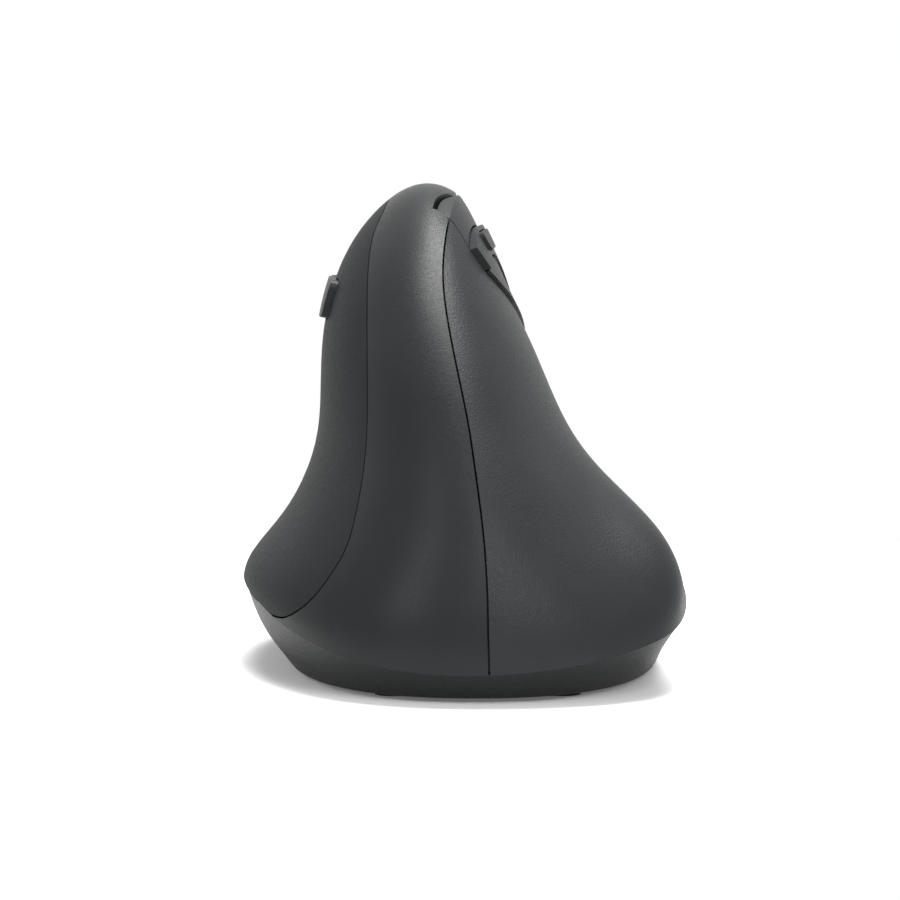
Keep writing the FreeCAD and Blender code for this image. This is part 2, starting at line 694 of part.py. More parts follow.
def oblong(place, size):
    """Four corners of an oblong round a place."""
    half_u, half_v = size[0] / 2, size[1] / 2
    return [(place[0] - half_u, place[1] - half_v), (place[0] + half_u, place[1] - half_v),
            (place[0] + half_u, place[1] + half_v), (place[0] - half_u, place[1] + half_v)]


wheel_slot = finger.plate(oblong(wheel_place, (2 * slot_reach, 2 * slot_half)), deep, proud, slot_round)
strip_region = field.common(finger.beside(upper_split, -field_gap / 2, -40, deep, proud))
strip_region = strip_region.common(finger.beside(lower_split, field_gap / 2, 40, deep, proud))
strip_region = strip_region.common(right_of(pocket_line, (0.0, 0.0)))
strip_under = body(strip_depth, True)
strip = biggest(body(-strip_rise, True).cut(strip_under).common(strip_region))
dpi_outline = oblong(dpi_place, dpi_size)
strip = strip.cut(wheel_slot).cut(finger.plate(grown(dpi_outline, dpi_gap), deep, proud, dpi_round + dpi_gap))
strip_core = body(strip_depth - grip, True)
legs = [finger.post(place, leg_radius, plate_top, proud).common(strip_core) for place in strip_legs]
nodes["centre_strip"] = biggest(joined([strip] + legs))

# Centre button
dpi_cap_top = board_top + tact_height + cap_height
flange_low = strip_depth + flange_gap + flange_thickness
dpi_head = finger.plate(dpi_outline, deep, proud, dpi_round)
dpi_head = dpi_head.common(body(-dpi_rise, True)).cut(body(flange_low, True))
dpi_skirt = finger.plate(grown(dpi_outline, dpi_flange), deep, proud, dpi_round)
dpi_skirt = dpi_skirt.common(body(strip_depth + flange_gap, True)).cut(body(flange_low, True))
dpi_stem = finger.post(dpi_place, leg_radius, dpi_cap_top, proud).common(body(strip_depth, True))
nodes["dpi_button"] = biggest(joined([dpi_head, dpi_skirt, dpi_stem]))


def tact(flank, place, low, travel):
    """Small push switch standing on low, and its cap, which can sink by the travel."""
    housing = flank.centred(place, (tact_width, tact_width), (low, low + tact_height))
    well_low = low + tact_height - cap_well
    well = flank.post(place, cap_radius + cap_gap, well_low, low + tact_height + cap_height)
    cap = flank.post(place, cap_radius, well_low + travel + cap_gap, low + tact_height + cap_height)
    return housing.cut(well), cap


nodes["dpi_tact"], nodes["dpi_tact_cap"] = tact(finger, dpi_place, board_top, dpi_travel)

# Wheel with its tyre, axle, carrier and encoder
rim_half = wheel_width / 2
wheel_faces = (wheel_v - rim_half, wheel_v + rim_half)
axle_reach = (wheel_faces[0] - axle_ends[0], wheel_faces[1] + axle_ends[1])


def about_wheel(reach, radius):
    """Round rod on the wheel's axis."""
    return finger.rod(wheel_u, wheel_w, reach, radius)


tyre = about_wheel(wheel_faces, wheel_radius)
tyre = tyre.makeFillet(tread_round, [edge for edge in tyre.Edges if edge.Curve.TypeId == "Part::GeomCircle"])
tyre = tyre.cut(about_wheel(wheel_faces, hub_radius))
groove_reach = (wheel_faces[0] + groove_margin, wheel_faces[1] - groove_margin)
for i in range(groove_count):
    angle = 2 * math.pi * i / groove_count
    place_u = wheel_u + wheel_radius * math.cos(angle)
    place_w = wheel_w + wheel_radius * math.sin(angle)
    tyre = tyre.cut(finger.rod(place_u, place_w, groove_reach, groove_radius))
nodes["wheel_tyre"] = tyre
hub = about_wheel((wheel_faces[0] + hub_inset, wheel_faces[1] - hub_inset), hub_radius)
for low in (wheel_faces[0], wheel_faces[1] - hub_dish[2]):
    dish = about_wheel((low, low + hub_dish[2]), hub_dish[1])
    hub = hub.cut(dish.cut(about_wheel((low, low + hub_dish[2]), hub_dish[0])))
nodes["wheel_axle"] = about_wheel(axle_reach, axle_radius)
nodes["wheel_hub"] = hub.cut(nodes["wheel_axle"])
axle_hole = about_wheel(axle_reach, axle_radius + running_gap)
cheek_in = rim_half + cheek_gap
cheek_out = cheek_in + cheek_thickness
carrier_low = board_top + tact_height + cap_height
block_end = wheel_u - wheel_radius - wheel_gap
block_u = (block_end - carrier_block, block_end)
cheek_w = (wheel_w - cheek_half_height, wheel_w + cheek_half_height)
carrier = [finger.block(block_u, (wheel_v - cheek_out, wheel_v + cheek_out), (carrier_low, cheek_w[1]))]
for side in (-1, 1):
    reach = sorted((wheel_v + side * cheek_in, wheel_v + side * cheek_out))
    carrier.append(finger.block((block_u[0], wheel_u), reach, cheek_w))
    carrier.append(about_wheel(reach, cheek_radius))
nodes["wheel_carrier"] = joined(carrier).cut(axle_hole)
encoder_place = (wheel_u, wheel_v - cheek_out - encoder_size[1] / 2)
encoder_w = (wheel_w - encoder_size[2] / 2, wheel_w + encoder_size[2] / 2)
nodes["wheel_encoder"] = finger.centred(encoder_place, encoder_size, encoder_w).cut(axle_hole)
wheel_tact_place = ((block_u[0] + block_u[1]) / 2, wheel_v)
nodes["wheel_tact"], nodes["wheel_tact_cap"] = tact(finger, wheel_tact_place, board_top, carrier_travel)

# Click switches and their plungers
for side, place in (("left", left_switch_place), ("right", right_switch_place)):
    housing = finger.centred(place, switch_size, (board_top, switch_top))
    well_size = [size + 2 * plunger_gap for size in plunger_size]
    well = finger.centred(place, well_size, (switch_top - plunger_size[2], switch_top))
    nodes[side + "_switch"] = housing.cut(well)
    reach = (switch_top + plunger_rise - plunger_size[2], switch_top + plunger_rise)
    nodes[side + "_plunger"] = finger.centred(place, plunger_size, reach)

# Hinge pins
for side, (u, w, low, high) in (("left", left_hinge), ("right", right_hinge)):
    nodes[side + "_hinge_pin"] = finger.rod(u, w, (low, high), hinge_radius)

# Button board and the inner frame that carries it
wheel_well = about_wheel((wheel_v - slot_half, wheel_v + slot_half), wheel_radius + slot_margin)
board = finger.block(board_u, board_v, (plate_top, board_top)).cut(wheel_well)
posts = []
holes = []
for u, w, low, high in (left_hinge, right_hinge):
    reach = (low + lug_thickness + lug_gap, high - lug_thickness - lug_gap)
    posts.append(finger.block((u - lug_radius, u + lug_radius), reach, (plate_low, w)))
    posts.append(finger.rod(u, w, reach, lug_radius))
    hole_u = (u - lug_radius - lug_clearance, u + lug_radius + lug_clearance)
    hole_v = (reach[0] - lug_clearance, reach[1] + lug_clearance)
    holes.append(finger.block(hole_u, hole_v, (plate_top, board_top)))
holes += [finger.post(place, leg_radius + lug_clearance, plate_top, board_top) for place in strip_legs]
room = body(wall + ledge_depth + room_gap)
nodes["button_board"] = biggest(board.cut(joined(holes)).common(room))
plate = finger.block(plate_u, plate_v, (plate_low, plate_top)).cut(wheel_well)

thumb_plate_low = thumb_board_top - thumb_board_thickness - plate_thickness
thumb_plate_top = thumb_board_top - thumb_board_thickness
thumb_plate = thumb.block(plate_u, thumb_board_v, (thumb_plate_low, thumb_plate_top))
nodes["thumb_board"] = thumb.block(thumb_board_u, thumb_board_v, (thumb_plate_top, thumb_board_top))


def web(y):
    """Upright cross wall between the two plates, standing on a foot."""
    places = [V(x, y, z) for x, z in web_outline]
    return Part.Face(Part.makePolygon(places + places[:1])).extrude(V(0, plate_thickness, 0))


foot_z = (frame_foot, frame_foot + foot_thickness)
frame_feet = [box(foot_x, reach, foot_z) for reach in (foot_back, foot_front)]
frame = joined([plate, thumb_plate, web(web_back), web(web_front)] + posts + frame_feet).cut(wheel_well)
for u, w, low, high in (left_hinge, right_hinge):
    frame = frame.cut(finger.rod(u, w, (low, high), hinge_radius))
for y in frame_screw_y:
    frame = frame.cut(upright(frame_screw_x, y, screw_radius, *foot_z))
nodes["inner_frame"] = biggest(frame.common(room))

# Thumb buttons; the two flanges stop short of each other between the buttons
thumb_flange_top = body(wall + flange_gap)
thumb_stem_top = body(wall + flange_gap + flange_thickness / 4)
thumb_head_low = body(wall + flange_gap + flange_thickness / 2)
thumb_flange_low = body(wall + flange_gap + flange_thickness)
thumb_middle = (thumb_spans["back"][1] + thumb_spans["forward"][0]) / 2
thumb_reach = {"back": (thumb_spans["back"][0] - thumb_flange, thumb_middle - thumb_gap / 2),
               "forward": (thumb_middle + thumb_gap / 2, thumb_spans["forward"][1] + thumb_flange)}
for side, (start, stop) in thumb_spans.items():
    middle = ((start + stop) / 2, 0.0)
    outline = oblong(middle, (stop - start, 2 * thumb_half_height))
    head = thumb.plate(outline, deep, proud, thumb_round)
    head = biggest(head.common(body(-thumb_rise)).cut(thumb_head_low))
    near, far = thumb_reach[side]
    flange_size = (far - near, 2 * (thumb_half_height + thumb_flange))
    flange = thumb.plate(oblong(((near + far) / 2, 0.0), flange_size), deep, proud, thumb_round)
    flange = flange.common(thumb_flange_top).cut(thumb_flange_low)
    cap_top = thumb_board_top + tact_height + cap_height
    stem = thumb.post(middle, thumb_stem_radius, cap_top, proud).common(thumb_stem_top)
    nodes["thumb_button_" + side] = biggest(joined([head, flange, stem]))
    hole = thumb.plate(grown(outline, thumb_gap), deep, proud, thumb_round + thumb_gap)
    thumb_panel = thumb_panel.cut(hole)
    name = "thumb_tact_" + side
    nodes[name], nodes[name + "_cap"] = tact(thumb, middle, thumb_board_top, thumb_travel)
thumb_panel = biggest(thumb_panel)

nodes["thumb_panel"] = thumb_panel
nodes["spine_shell"] = spine_shell
nodes["palm_panel"] = palm_panel

# Base: sides from the rim in to the underside
def base_lines():
    """For each direction: the way from the middle, and the side's radius at the underside and at the rim."""
    lines = []
    for i in range(base_lines_count):
        angle = 2 * math.pi * i / base_lines_count
        low, high = 0.6, 1.12
        for _ in range(30):
            middle = (low + high) / 2
            point = body_point(middle * math.cos(angle), middle * math.sin(angle), True)
            if point.z > rim_height(point.x, point.y):
                low = middle
            else:
                high = middle
        away = V(point.x - base_centre, point.y, 0)
        rim_radius = away.Length - base_step
        away.normalize()
        foot_radius = (abs(away.x / base_side) ** base_square + abs(away.y / base_end) ** base_square)
        foot_radius **= -1 / base_square
        lines.append((away, foot_radius, rim_radius, point.z))
    return lines


base_net = base_lines()


def base_ring(z, inset):
    points = []
    for away, foot_radius, rim_radius, rim_z in base_net:
        share = (z - foot_height) / (rim_z - foot_height)
        level = min(share, 1.0)
        swell = base_bow * away.x ** 2 * 4 * level * (1 - level)
        radius = foot_radius + (rim_radius - foot_radius) * share + swell - inset
        points.append(V(base_centre, 0, z) + away * radius)
    ring = Part.BSplineCurve()
    ring.interpolate(Points=points, PeriodicFlag=True, Parameters=[float(i) for i in range(len(points) + 1)])
    return ring.toShape()


def base_body(low, high, inset):
    levels = [low + (high - low) * i / (base_levels - 1) for i in range(base_levels)]
    return Part.makeLoft([Part.Wire(base_ring(z, inset)) for z in levels], True)


def bar(place, size, low, high):
    """Upright bar with round ends, its length along X."""
    radius = size[1] / 2
    half = size[0] / 2 - radius
    middle = box((place[0] - half, place[0] + half), (place[1] - radius, place[1] + radius), (low, high))
    ends = [upright(place[0] + side * half, place[1], radius, low, high) for side in (-1, 1)]
    return joined([middle] + ends)


def ribbon(points, thickness, start, width, plane):
    """Bent strip along a line of points in the plane across Y or across X, width wide from start."""
    sides = []
    for k, point in enumerate(points):
        back = points[max(k - 1, 0)]
        on = points[min(k + 1, len(points) - 1)]
        run = math.hypot(on[0] - back[0], on[1] - back[1])
        normal = (-(on[1] - back[1]) / run * thickness / 2, (on[0] - back[0]) / run * thickness / 2)
        sides.append(normal)
    outline = [(p[0] + n[0], p[1] + n[1]) for p, n in zip(points, sides)]
    outline += [(p[0] - n[0], p[1] - n[1]) for p, n in reversed(list(zip(points, sides)))]
    if plane == "Y":
        places = [V(p, start, q) for p, q in outline]
        way = V(0, width, 0)
    else:
        places = [V(start, p, q) for p, q in outline]
        way = V(width, 0, 0)
    return Part.Face(Part.makePolygon(places + [places[0]])).extrude(way)


def around(place, size, z, more=0.0):
    """Box of a size in plan round a place, and larger all round by more."""
    half_x, half_y = size[0] / 2 + more, size[1] / 2 + more
    return box((place[0] - half_x, place[0] + half_x), (place[1] - half_y, place[1] + half_y), z)


def lengthways(x, radius, y, z):
    """Round rod along X."""
    return Part.makeCylinder(radius, x[1] - x[0], V(x[0], y, z), V(1, 0, 0))


base = base_body(foot_height, base_height, 0.0)
low_edges = [edge for edge in base.Edges if edge.BoundBox.ZMax < foot_height + seam_gap]
base = base.makeFillet(base_round, low_edges)
base = base.cut(top)
base = biggest(base.cut(base_body(floor_top, base_height + 1, base_wall)))
adds = []
cuts = []
through = (0.0, floor_top)
for place in foot_places.values():
    cuts.append(bar(place, [size + foot_gap for size in foot_size], 0, foot_height + foot_recess))
for x, y in case_screws.values():
    adds.append(upright(x, y, boss_radius, foot_height, boss_top))
    cuts.append(upright(x, y, screw_head_radius + screw_gap, 0, foot_height + screw_head_depth))
    cuts.append(upright(x, y, screw_radius + slide_gap, 0, boss_top))
for y in frame_screw_y:
    adds.append(upright(frame_screw_x, y, frame_boss_radius, foot_height, frame_foot))
    cuts.append(upright(frame_screw_x, y, screw_radius, floor_top, frame_foot))
receiver_place = (receiver_x, (receiver_y[0] + receiver_y[2]) / 2)
receiver_size = (receiver_cap[0], receiver_y[2] - receiver_y[0])
bay_top = receiver_low + receiver_cap[1] + bay_gap
adds.append(around(receiver_place, receiver_size, (foot_height, bay_top + bay_wall), bay_gap + bay_wall))
cuts.append(around(receiver_place, receiver_size, (0, bay_top), bay_gap))
cuts.append(box((door_x[0] - door_gap, door_x[1] + door_gap),
                (door_y[0] - door_gap, door_y[1] + door_thickness / 2 + door_gap), through))
trunnion_z = foot_height + door_thickness / 2
trunnion_x = (door_x[0] - trunnion_length, door_x[1] + trunnion_length)
trunnion_hole = (trunnion_x[0] - slide_gap, trunnion_x[1] + slide_gap)
cuts.append(lengthways(trunnion_hole, trunnion_radius + running_gap, door_y[1], trunnion_z))
cuts.append(bar(sensor_place, sensor_hole, *through))
slot_x, slot_y = switch_place
slot_middle = (slot_x, slot_y + switch_travel / 2)
slot_size = (slider_neck[0], slider_neck[1] + switch_travel)
recess_size = (slider_size[0], slider_size[1] + switch_travel)
cuts.append(around(slot_middle, recess_size, (0, foot_height + slot_depth), slot_edge))
cuts.append(around(slot_middle, slot_size, through, slide_gap))
cuts.append(upright(*pairing_place, pairing_radius + slide_gap, *through))
cuts.append(upright(*pairing_place, pairing_radius + pairing_dimple, 0, foot_height + foot_recess))
clear = base_body(foot_height, base_height, foot_recess * 2).cut(top)
base = base.fuse([add.common(clear) for add in adds])
for cutter in cuts:
    base = base.cut(cutter)
nodes["base_shell"] = biggest(base)

# Pillars under the upper shells, over the case screws
for name, (x, y) in case_screws.items():
    owner = {"thumb": "thumb_panel", "palm": "palm_panel"}.get(name, "spine_shell")
    pillar = upright(x, y, boss_radius, boss_top, crest[2]).common(body(wall - grip, owner == "palm_panel"))
    for other in ("thumb_panel", "palm_panel", "spine_shell"):
        if other != owner:
            pillar = pillar.cut(nodes[other])
    pillar = pillar.cut(upright(x, y, screw_radius, boss_top, screw_reach))
    nodes[owner] = biggest(nodes[owner].fuse(pillar))

# Feet and screws
for name, place in foot_places.items():
    nodes["glide_foot_" + name] = bar(place, foot_size, 0, foot_height + foot_recess)


def screw(x, y, head_low, reach, up):
    """Screw with a cross slot, its head at the low end, or at the high end when up is -1."""
    direction = V(0, 0, up)
    head = Part.makeCylinder(screw_head_radius, screw_head_height, V(x, y, head_low), direction)
    shank = Part.makeCylinder(screw_radius, reach, V(x, y, head_low), direction)
    whole = head.fuse(shank)
    length, width, depth = screw_slot
    for size in ((length, width), (width, length)):
        whole = whole.cut(around((x, y), size, (head_low - depth, head_low + depth)))
    return whole


head_low = foot_height + screw_head_depth - screw_head_height
nodes["case_screws"] = Part.makeCompound([screw(x, y, head_low, screw_reach - head_low, 1)
                                          for x, y in case_screws.values()])
frame_head = frame_foot + foot_thickness + screw_head_height
frame_shank = frame_head - floor_top - screw_gap
nodes["frame_screws"] = Part.makeCompound([screw(frame_screw_x, y, frame_head, frame_shank, -1)
                                           for y in frame_screw_y])

# Battery
cell = Part.makeCylinder(cell_radius, cell_y[1] - cell_y[0], V(cell_x, cell_y[0], cell_z), V(0, 1, 0))
cell = cell.makeFillet(cell_round, [edge for edge in cell.Edges if edge.Curve.TypeId == "Part::GeomCircle"])
nub = Part.makeCylinder(cell_nub[0], cell_nub[1] + 1, V(cell_x, cell_y[1] - 1, cell_z), V(0, 1, 0))
nodes["battery_cell"] = cell.fuse(nub)
tray_place = ((tray_x[0] + tray_x[1]) / 2, (tray_y[0] + tray_y[1]) / 2)
tray_size = (tray_x[1] - tray_x[0], tray_y[1] - tray_y[0])
tray = around(tray_place, tray_size, (floor_top, tray_roof + tray_wall), tray_wall)
nodes["battery_tray"] = tray.cut(around(tray_place, tray_size, (floor_top, tray_roof)))
contact_half = contact_size[1] / 2
contact_middle = (cell_x, tray_y[1] - contact_thickness / 2)
nodes["battery_contact"] = around(contact_middle, (contact_size[0], contact_thickness),
                                  (cell_z - contact_half, cell_z + contact_half))
back = tray_y[0] + contact_thickness / 2
leaf = [(back, cell_z + contact_half), (back, cell_z - contact_half)]
leaf += [(cell_y[0] - ahead, cell_z + above) for ahead, above in leaf_bends]
nodes["battery_spring"] = ribbon(leaf, contact_thickness, cell_x - leaf_width / 2, leaf_width, "X")

# Battery door
saddle_z = (trunnion_z, cell_z - cell_radius - saddle_gap)
door = joined([box(door_x, door_y, (foot_height, foot_height + door_thickness)),
               lengthways(door_x, door_thickness / 2, door_y[1], trunnion_z),
               lengthways(trunnion_x, trunnion_radius, door_y[1], trunnion_z)]
              + [around((cell_x, y), saddle_size, saddle_z) for y in saddle_y])
for i in range(grip_count):
    y = door_y[0] + grip_groove[3] * (i + 2)
    door = door.cut(around((cell_x, y), grip_groove, (0, foot_height + grip_groove[2])))
nodes["battery_door"] = door

# Main board with the parts on it
connector_z = main_board_low + board_thickness
board_z = (main_board_low, connector_z)
board = box(main_board_x, main_board_y, board_z)
board = board.cut(upright(*case_screws["palm"], boss_radius + room_gap, *board_z))
board = board.cut(bar(sensor_place, sensor_window, *board_z))
board = biggest(board.common(base_body(floor_top, base_height, base_wall + room_gap)))
nodes["main_board"] = board.fuse(around(connector_place, connector_size,
                                        (main_board_low, connector_z + connector_size[2])))
sensor_x, sensor_y = sensor_place
lens_top = floor_top + lens_rise
lens = [around(sensor_place, lens_plate, (floor_top, floor_top + lens_plate[2])),
        upright(*sensor_place, lens_radius, floor_top, lens_top),
        bar(sensor_place, [size - 2 * slide_gap for size in sensor_hole], foot_height + lens_sink, lens_top)]
lens += [upright(sensor_x + side * lens_leg[0], sensor_y, lens_leg[1], floor_top, main_board_low)
         for side in (-1, 1)]
nodes["sensor_lens"] = joined(lens)
nodes["optical_sensor"] = around(sensor_place, sensor_size, (lens_top, main_board_low))

# Power slider and its switch
slider_top = floor_top + slide_gap + slider_plate
slider_low = foot_height + slide_gap
post_top = slider_top + slider_post_height
slider_face = foot_height + slot_depth - slide_gap
nodes["power_slider"] = joined([around(switch_place, slider_size, (slider_low, slider_face)),
                                around(switch_place, slider_neck, (slider_low, slider_top)),
                                around(switch_place, slider_inner, (floor_top + slide_gap, slider_top)),
                                upright(*switch_place, slider_post, floor_top, post_top)])
housing_size = (power_switch_size[0], power_switch_size[1] + switch_travel)
housing = around(slot_middle, housing_size, (slider_top + slide_gap, main_board_low))
track = around(slot_middle, (2 * slider_post, 2 * slider_post + switch_travel),
               (slider_top, post_top + slide_gap), slide_gap)
nodes["power_switch"] = housing.cut(track)

# Pairing button and its switch
pair_top = floor_top + pairing_height
pair_button = upright(*pairing_place, pairing_radius, foot_height + slide_gap, pair_top)
pair_flange = upright(*pairing_place, pairing_radius + pairing_flange, floor_top + slide_gap, pair_top)
nodes["pairing_button"] = pair_button.fuse(pair_flange)
pair_housing_low = pair_top + cap_height
pair_well = pair_housing_low + cap_well
housing = around(pairing_place, (tact_width, tact_width), (pair_housing_low, main_board_low))
pair_cap_top = pair_well - pairing_travel - cap_gap
pair_hole = upright(*pairing_place, cap_radius + cap_gap, pair_housing_low, pair_well)
nodes["pairing_tact"] = housing.cut(pair_hole)
nodes["pairing_tact_cap"] = upright(*pairing_place, cap_radius, pair_top, pair_cap_top)

# Receiver in its bay
receiver_middle = receiver_low + receiver_cap[1] / 2
for name, (width, height), (start, stop) in (("cap", receiver_cap, receiver_y[:2]),
                                             ("plug", receiver_plug, receiver_y[1:])):
    nodes["usb_receiver_" + name] = box((receiver_x - width / 2, receiver_x + width / 2), (start, stop),
                                        (receiver_middle - height / 2, receiver_middle + height / 2))

# Flat cables
def flat_cable(flank, lie, board_face, bends, across):
    """Cable that lies on a board between two places along v, then runs down through its bends."""
    points = [flank.at(0, v, board_face + cable_thickness / 2) for v in lie]
    path = [(point.x, point.z) for point in points] + bends
    return ribbon(path, cable_thickness, across[0], across[1] - across[0], "Y")


nodes["button_cable"] = flat_cable(finger, button_cable_lie, board_top, button_cable_bends, button_cable_y)
nodes["thumb_cable"] = flat_cable(thumb, thumb_cable_lie, thumb_board_top, thumb_cable_bends, thumb_cable_y)

os.makedirs("parts", exist_ok=True)
for name, shape in nodes.items():
    if len(shape.Solids) != 1 or not shape.isValid():
        print("check", name, len(shape.Solids), shape.isValid())
    shape.translated(V(*origin_shift)).exportStep("parts/" + name + ".step")
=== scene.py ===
"""Upright ergonomic mouse: materials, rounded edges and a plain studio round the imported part."""

import math

import bpy
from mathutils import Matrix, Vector


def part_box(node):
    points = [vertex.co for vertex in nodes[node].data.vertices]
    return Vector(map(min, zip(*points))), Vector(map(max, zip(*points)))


bl_info = {
    "name": "Upright Ergonomic Mouse",
    "version": (1, 0, 0),
    "blender": (4, 5, 0),
    "location": "3D View > Sidebar > Mouse",
    "description": "Dresses the packed mouse: plastics, rubber, metal, boards and a studio",
    "category": "Object",
}

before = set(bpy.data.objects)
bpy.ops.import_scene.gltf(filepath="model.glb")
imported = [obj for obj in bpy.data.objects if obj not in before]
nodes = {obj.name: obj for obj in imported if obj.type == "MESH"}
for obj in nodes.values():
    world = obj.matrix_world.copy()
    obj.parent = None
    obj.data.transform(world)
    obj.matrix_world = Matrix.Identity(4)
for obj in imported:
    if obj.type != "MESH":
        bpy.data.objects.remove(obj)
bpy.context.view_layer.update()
MM = 0.001
WHITE = (1.0, 1.0, 1.0, 1.0)
BLACK = (0.0, 0.0, 0.0, 1.0)

# Nodes that share a material
BUTTONS = ("left_button", "right_button", "dpi_button", "thumb_button_back", "thumb_button_forward")
SWITCHES = ("left_switch", "right_switch", "dpi_tact", "wheel_tact", "thumb_tact_back", "thumb_tact_forward",
            "pairing_tact", "power_switch", "wheel_encoder")
CAPS = ("left_plunger", "right_plunger", "dpi_tact_cap", "wheel_tact_cap", "thumb_tact_back_cap",
        "thumb_tact_forward_cap", "pairing_tact_cap")
BOARDS = ("main_board", "button_board", "thumb_board")
CABLES = ("button_cable", "thumb_cable")
FEET = ("glide_foot_front_left", "glide_foot_front_right", "glide_foot_rear_left", "glide_foot_rear_right")
SCREWS = ("case_screws", "frame_screws")
PINS = ("left_hinge_pin", "right_hinge_pin", "wheel_axle")
CONTACTS = ("battery_contact", "battery_spring")

# Moulded plastics: colour and its lighter cloud, grain and its depth in millimetres, roughness
PLASTICS = {
    "glass_filled_nylon": ("#3C3D40", "#444549", 0.6, 0.03, 0.55),
    "hub_abs": ("#1C1D1E", "#232425", 0.5, 0.01, 0.35),
    "natural_acetal": ("#D6D5CE", "#DEDDD7", 0.6, 0.01, 0.4),
    "switch_housing": ("#17181A", "#1D1E20", 0.5, 0.01, 0.4),
    "plunger_acetal": ("#A8322A", "#B33A31", 0.5, 0.01, 0.35),
    "flat_flex_film": ("#DCDCD6", "#E8E8E3", 0.8, 0.01, 0.35),
    "slick_foot_pad": ("#1B1C1E", "#202124", 0.9, 0.008, 0.3),
    "chip_package": ("#141414", "#191919", 0.3, 0.01, 0.6),
    "slider_acetal": ("#BDBDB8", "#C6C6C1", 0.5, 0.01, 0.4),
    "receiver_abs": ("#222325", "#28292B", 0.4, 0.015, 0.4),
}

# Shells, whose colours and grain are properties: depth of the grain in millimetres, roughness, specular level
SHELL_FINISH = (0.022, 0.36, 0.11)
THUMB_FINISH = (0.022, 0.52, 0.05)
PALM_FINISH = (0.035, 0.44)

# Base, buttons and trim, whose colours are properties: grain and its depth in millimetres, roughness
BASE_FINISH = (0.4, 0.02, 0.5)
BUTTON_FINISH = (0.4, 0.02, 0.42)
TRIM_FINISH = (0.4, 0.015, 0.38)

PLASTIC_SPECULAR = 0.12
PLASTIC_CLOUD = 14.0      # size in millimetres of the slow change of colour over a moulded piece
PALM_CLOUD = 11.0         # the same for the palm panel
NOISE_RANGE = (0.3, 0.7)  # values that a noise keeps to over most of a surface

# Edges: angle in degrees from which one is drawn sharp, and from which it is rounded
SHARP_FROM = 32
ROUND_FROM = 38
BUTTON_EDGE = 1.2         # rounding of the buttons, as a share of the shells'
CELL_BAND = 12.0          # length in millimetres of the coloured band at the cell's end
BAND_BLEND = 0.05         # half the width in millimetres over which the two bands meet

# Studio, in metres and watts
CAMERA_AIM = (-0.00158, 0.00007, 0.03325)
CAMERA_SENSOR = 36.0      # width in millimetres
LAMP_AIM = (0.0, 0.0, 0.03)
LAMPS = (                 # name, place, size and power
    ("top_softbox", (0.05, 0.08, 0.66), (0.4, 0.4), 10.0),
    ("left_fill", (-0.42, -0.5, 0.34), (0.2, 0.34), 1.2),
    ("right_fill", (0.2, -0.6, 0.4), (0.24, 0.34), 3.0),
)
SKY_COLOUR = (0.94, 0.95, 0.97, 1.0)
SKY_STRENGTH = 0.35
DESK_SIDE = 6.0
DESK_GLOW = 0.12          # light added to the desk near the mouse, as the camera sees it
DESK_FADE = (0.08, 0.2)   # distances from the origin where the desk starts and ends its fade to white


def linear(code):
    """Linear colour of an sRGB hex value."""
    values = [int(code[i:i + 2], 16) / 255 for i in (1, 3, 5)]
    return tuple(v / 12.92 if v <= 0.04045 else ((v + 0.055) / 1.055) ** 2.4 for v in values) + (1.0,)


def add(tree, kind, settings=(), **links):
    """Adds a node; settings name its values or those of its inputs, links name inputs and give sockets."""
    node = tree.nodes.new(kind)
    for name, value in dict(settings).items():
        if name in node.inputs:
            node.inputs[name].default_value = value
        else:
            setattr(node, name, value)
    for name, socket in links.items():
        tree.links.new(socket, node.inputs[name.replace("_", " ")])
    return node


def surface(name, **values):
    """New material; returns it, its node tree and its Principled shader with plain values set."""
    material = bpy.data.materials.new(name)
    material.use_nodes = True
    tree = material.node_tree
    shader = tree.nodes["Principled BSDF"]
    for key, value in values.items():
        shader.inputs[key.replace("_", " ")].default_value = value
    return material, tree, shader


def grain(tree, size_mm, detail, roughness, stretch=(1.0, 1.0, 1.0)):
    """Noise whose lumps are about size_mm across, in the part's own frame."""
    place = add(tree, "ShaderNodeTexCoord")
    turn = add(tree, "ShaderNodeMapping", {"Scale": stretch}, Vector=place.outputs["Object"])
    values = {"Scale": 1 / (size_mm * MM), "Detail": detail, "Roughness": roughness}
    return add(tree, "ShaderNodeTexNoise", values, Vector=turn.outputs["Vector"])


def spread(tree, noise, low, high):
    """Maps a noise to values between low and high."""
    limits = {"From Min": NOISE_RANGE[0], "From Max": NOISE_RANGE[1], "To Min": low, "To Max": high}
    return add(tree, "ShaderNodeMapRange", limits, Value=noise.outputs["Fac"]).outputs["Result"]


def mixed(tree, share, first, second):
    """Colour between two colours, each a hex value or another node's output."""
    mix = add(tree, "ShaderNodeMix", {"data_type": "RGBA"})
    for socket, colour in zip([i for i in mix.inputs if i.type == "RGBA"], (first, second)):
        if isinstance(colour, str):
            socket.default_value = linear(colour)
        else:
            tree.links.new(colour, socket)
    tree.links.new(share, mix.inputs["Factor"])
    return [o for o in mix.outputs if o.type == "RGBA"][0]


def clouded(tree, shader, noise, base, light):
    """Colours a shader between two hex colours by a noise."""
    tree.links.new(mixed(tree, spread(tree, noise, 0.0, 1.0), base, light), shader.inputs["Base Color"])


def roughened(tree, shader, noise, low, high):
    """Lets a shader's roughness run between two values by a noise."""
    tree.links.new(spread(tree, noise, low, high), shader.inputs["Roughness"])


def relief(tree, shader, height, depth_mm):
    """Bump of a real depth in millimetres."""
    bump = add(tree, "ShaderNodeBump", {"Strength": 1.0, "Distance": depth_mm * MM}, Height=height)
    tree.links.new(bump.outputs["Normal"], shader.inputs["Normal"])


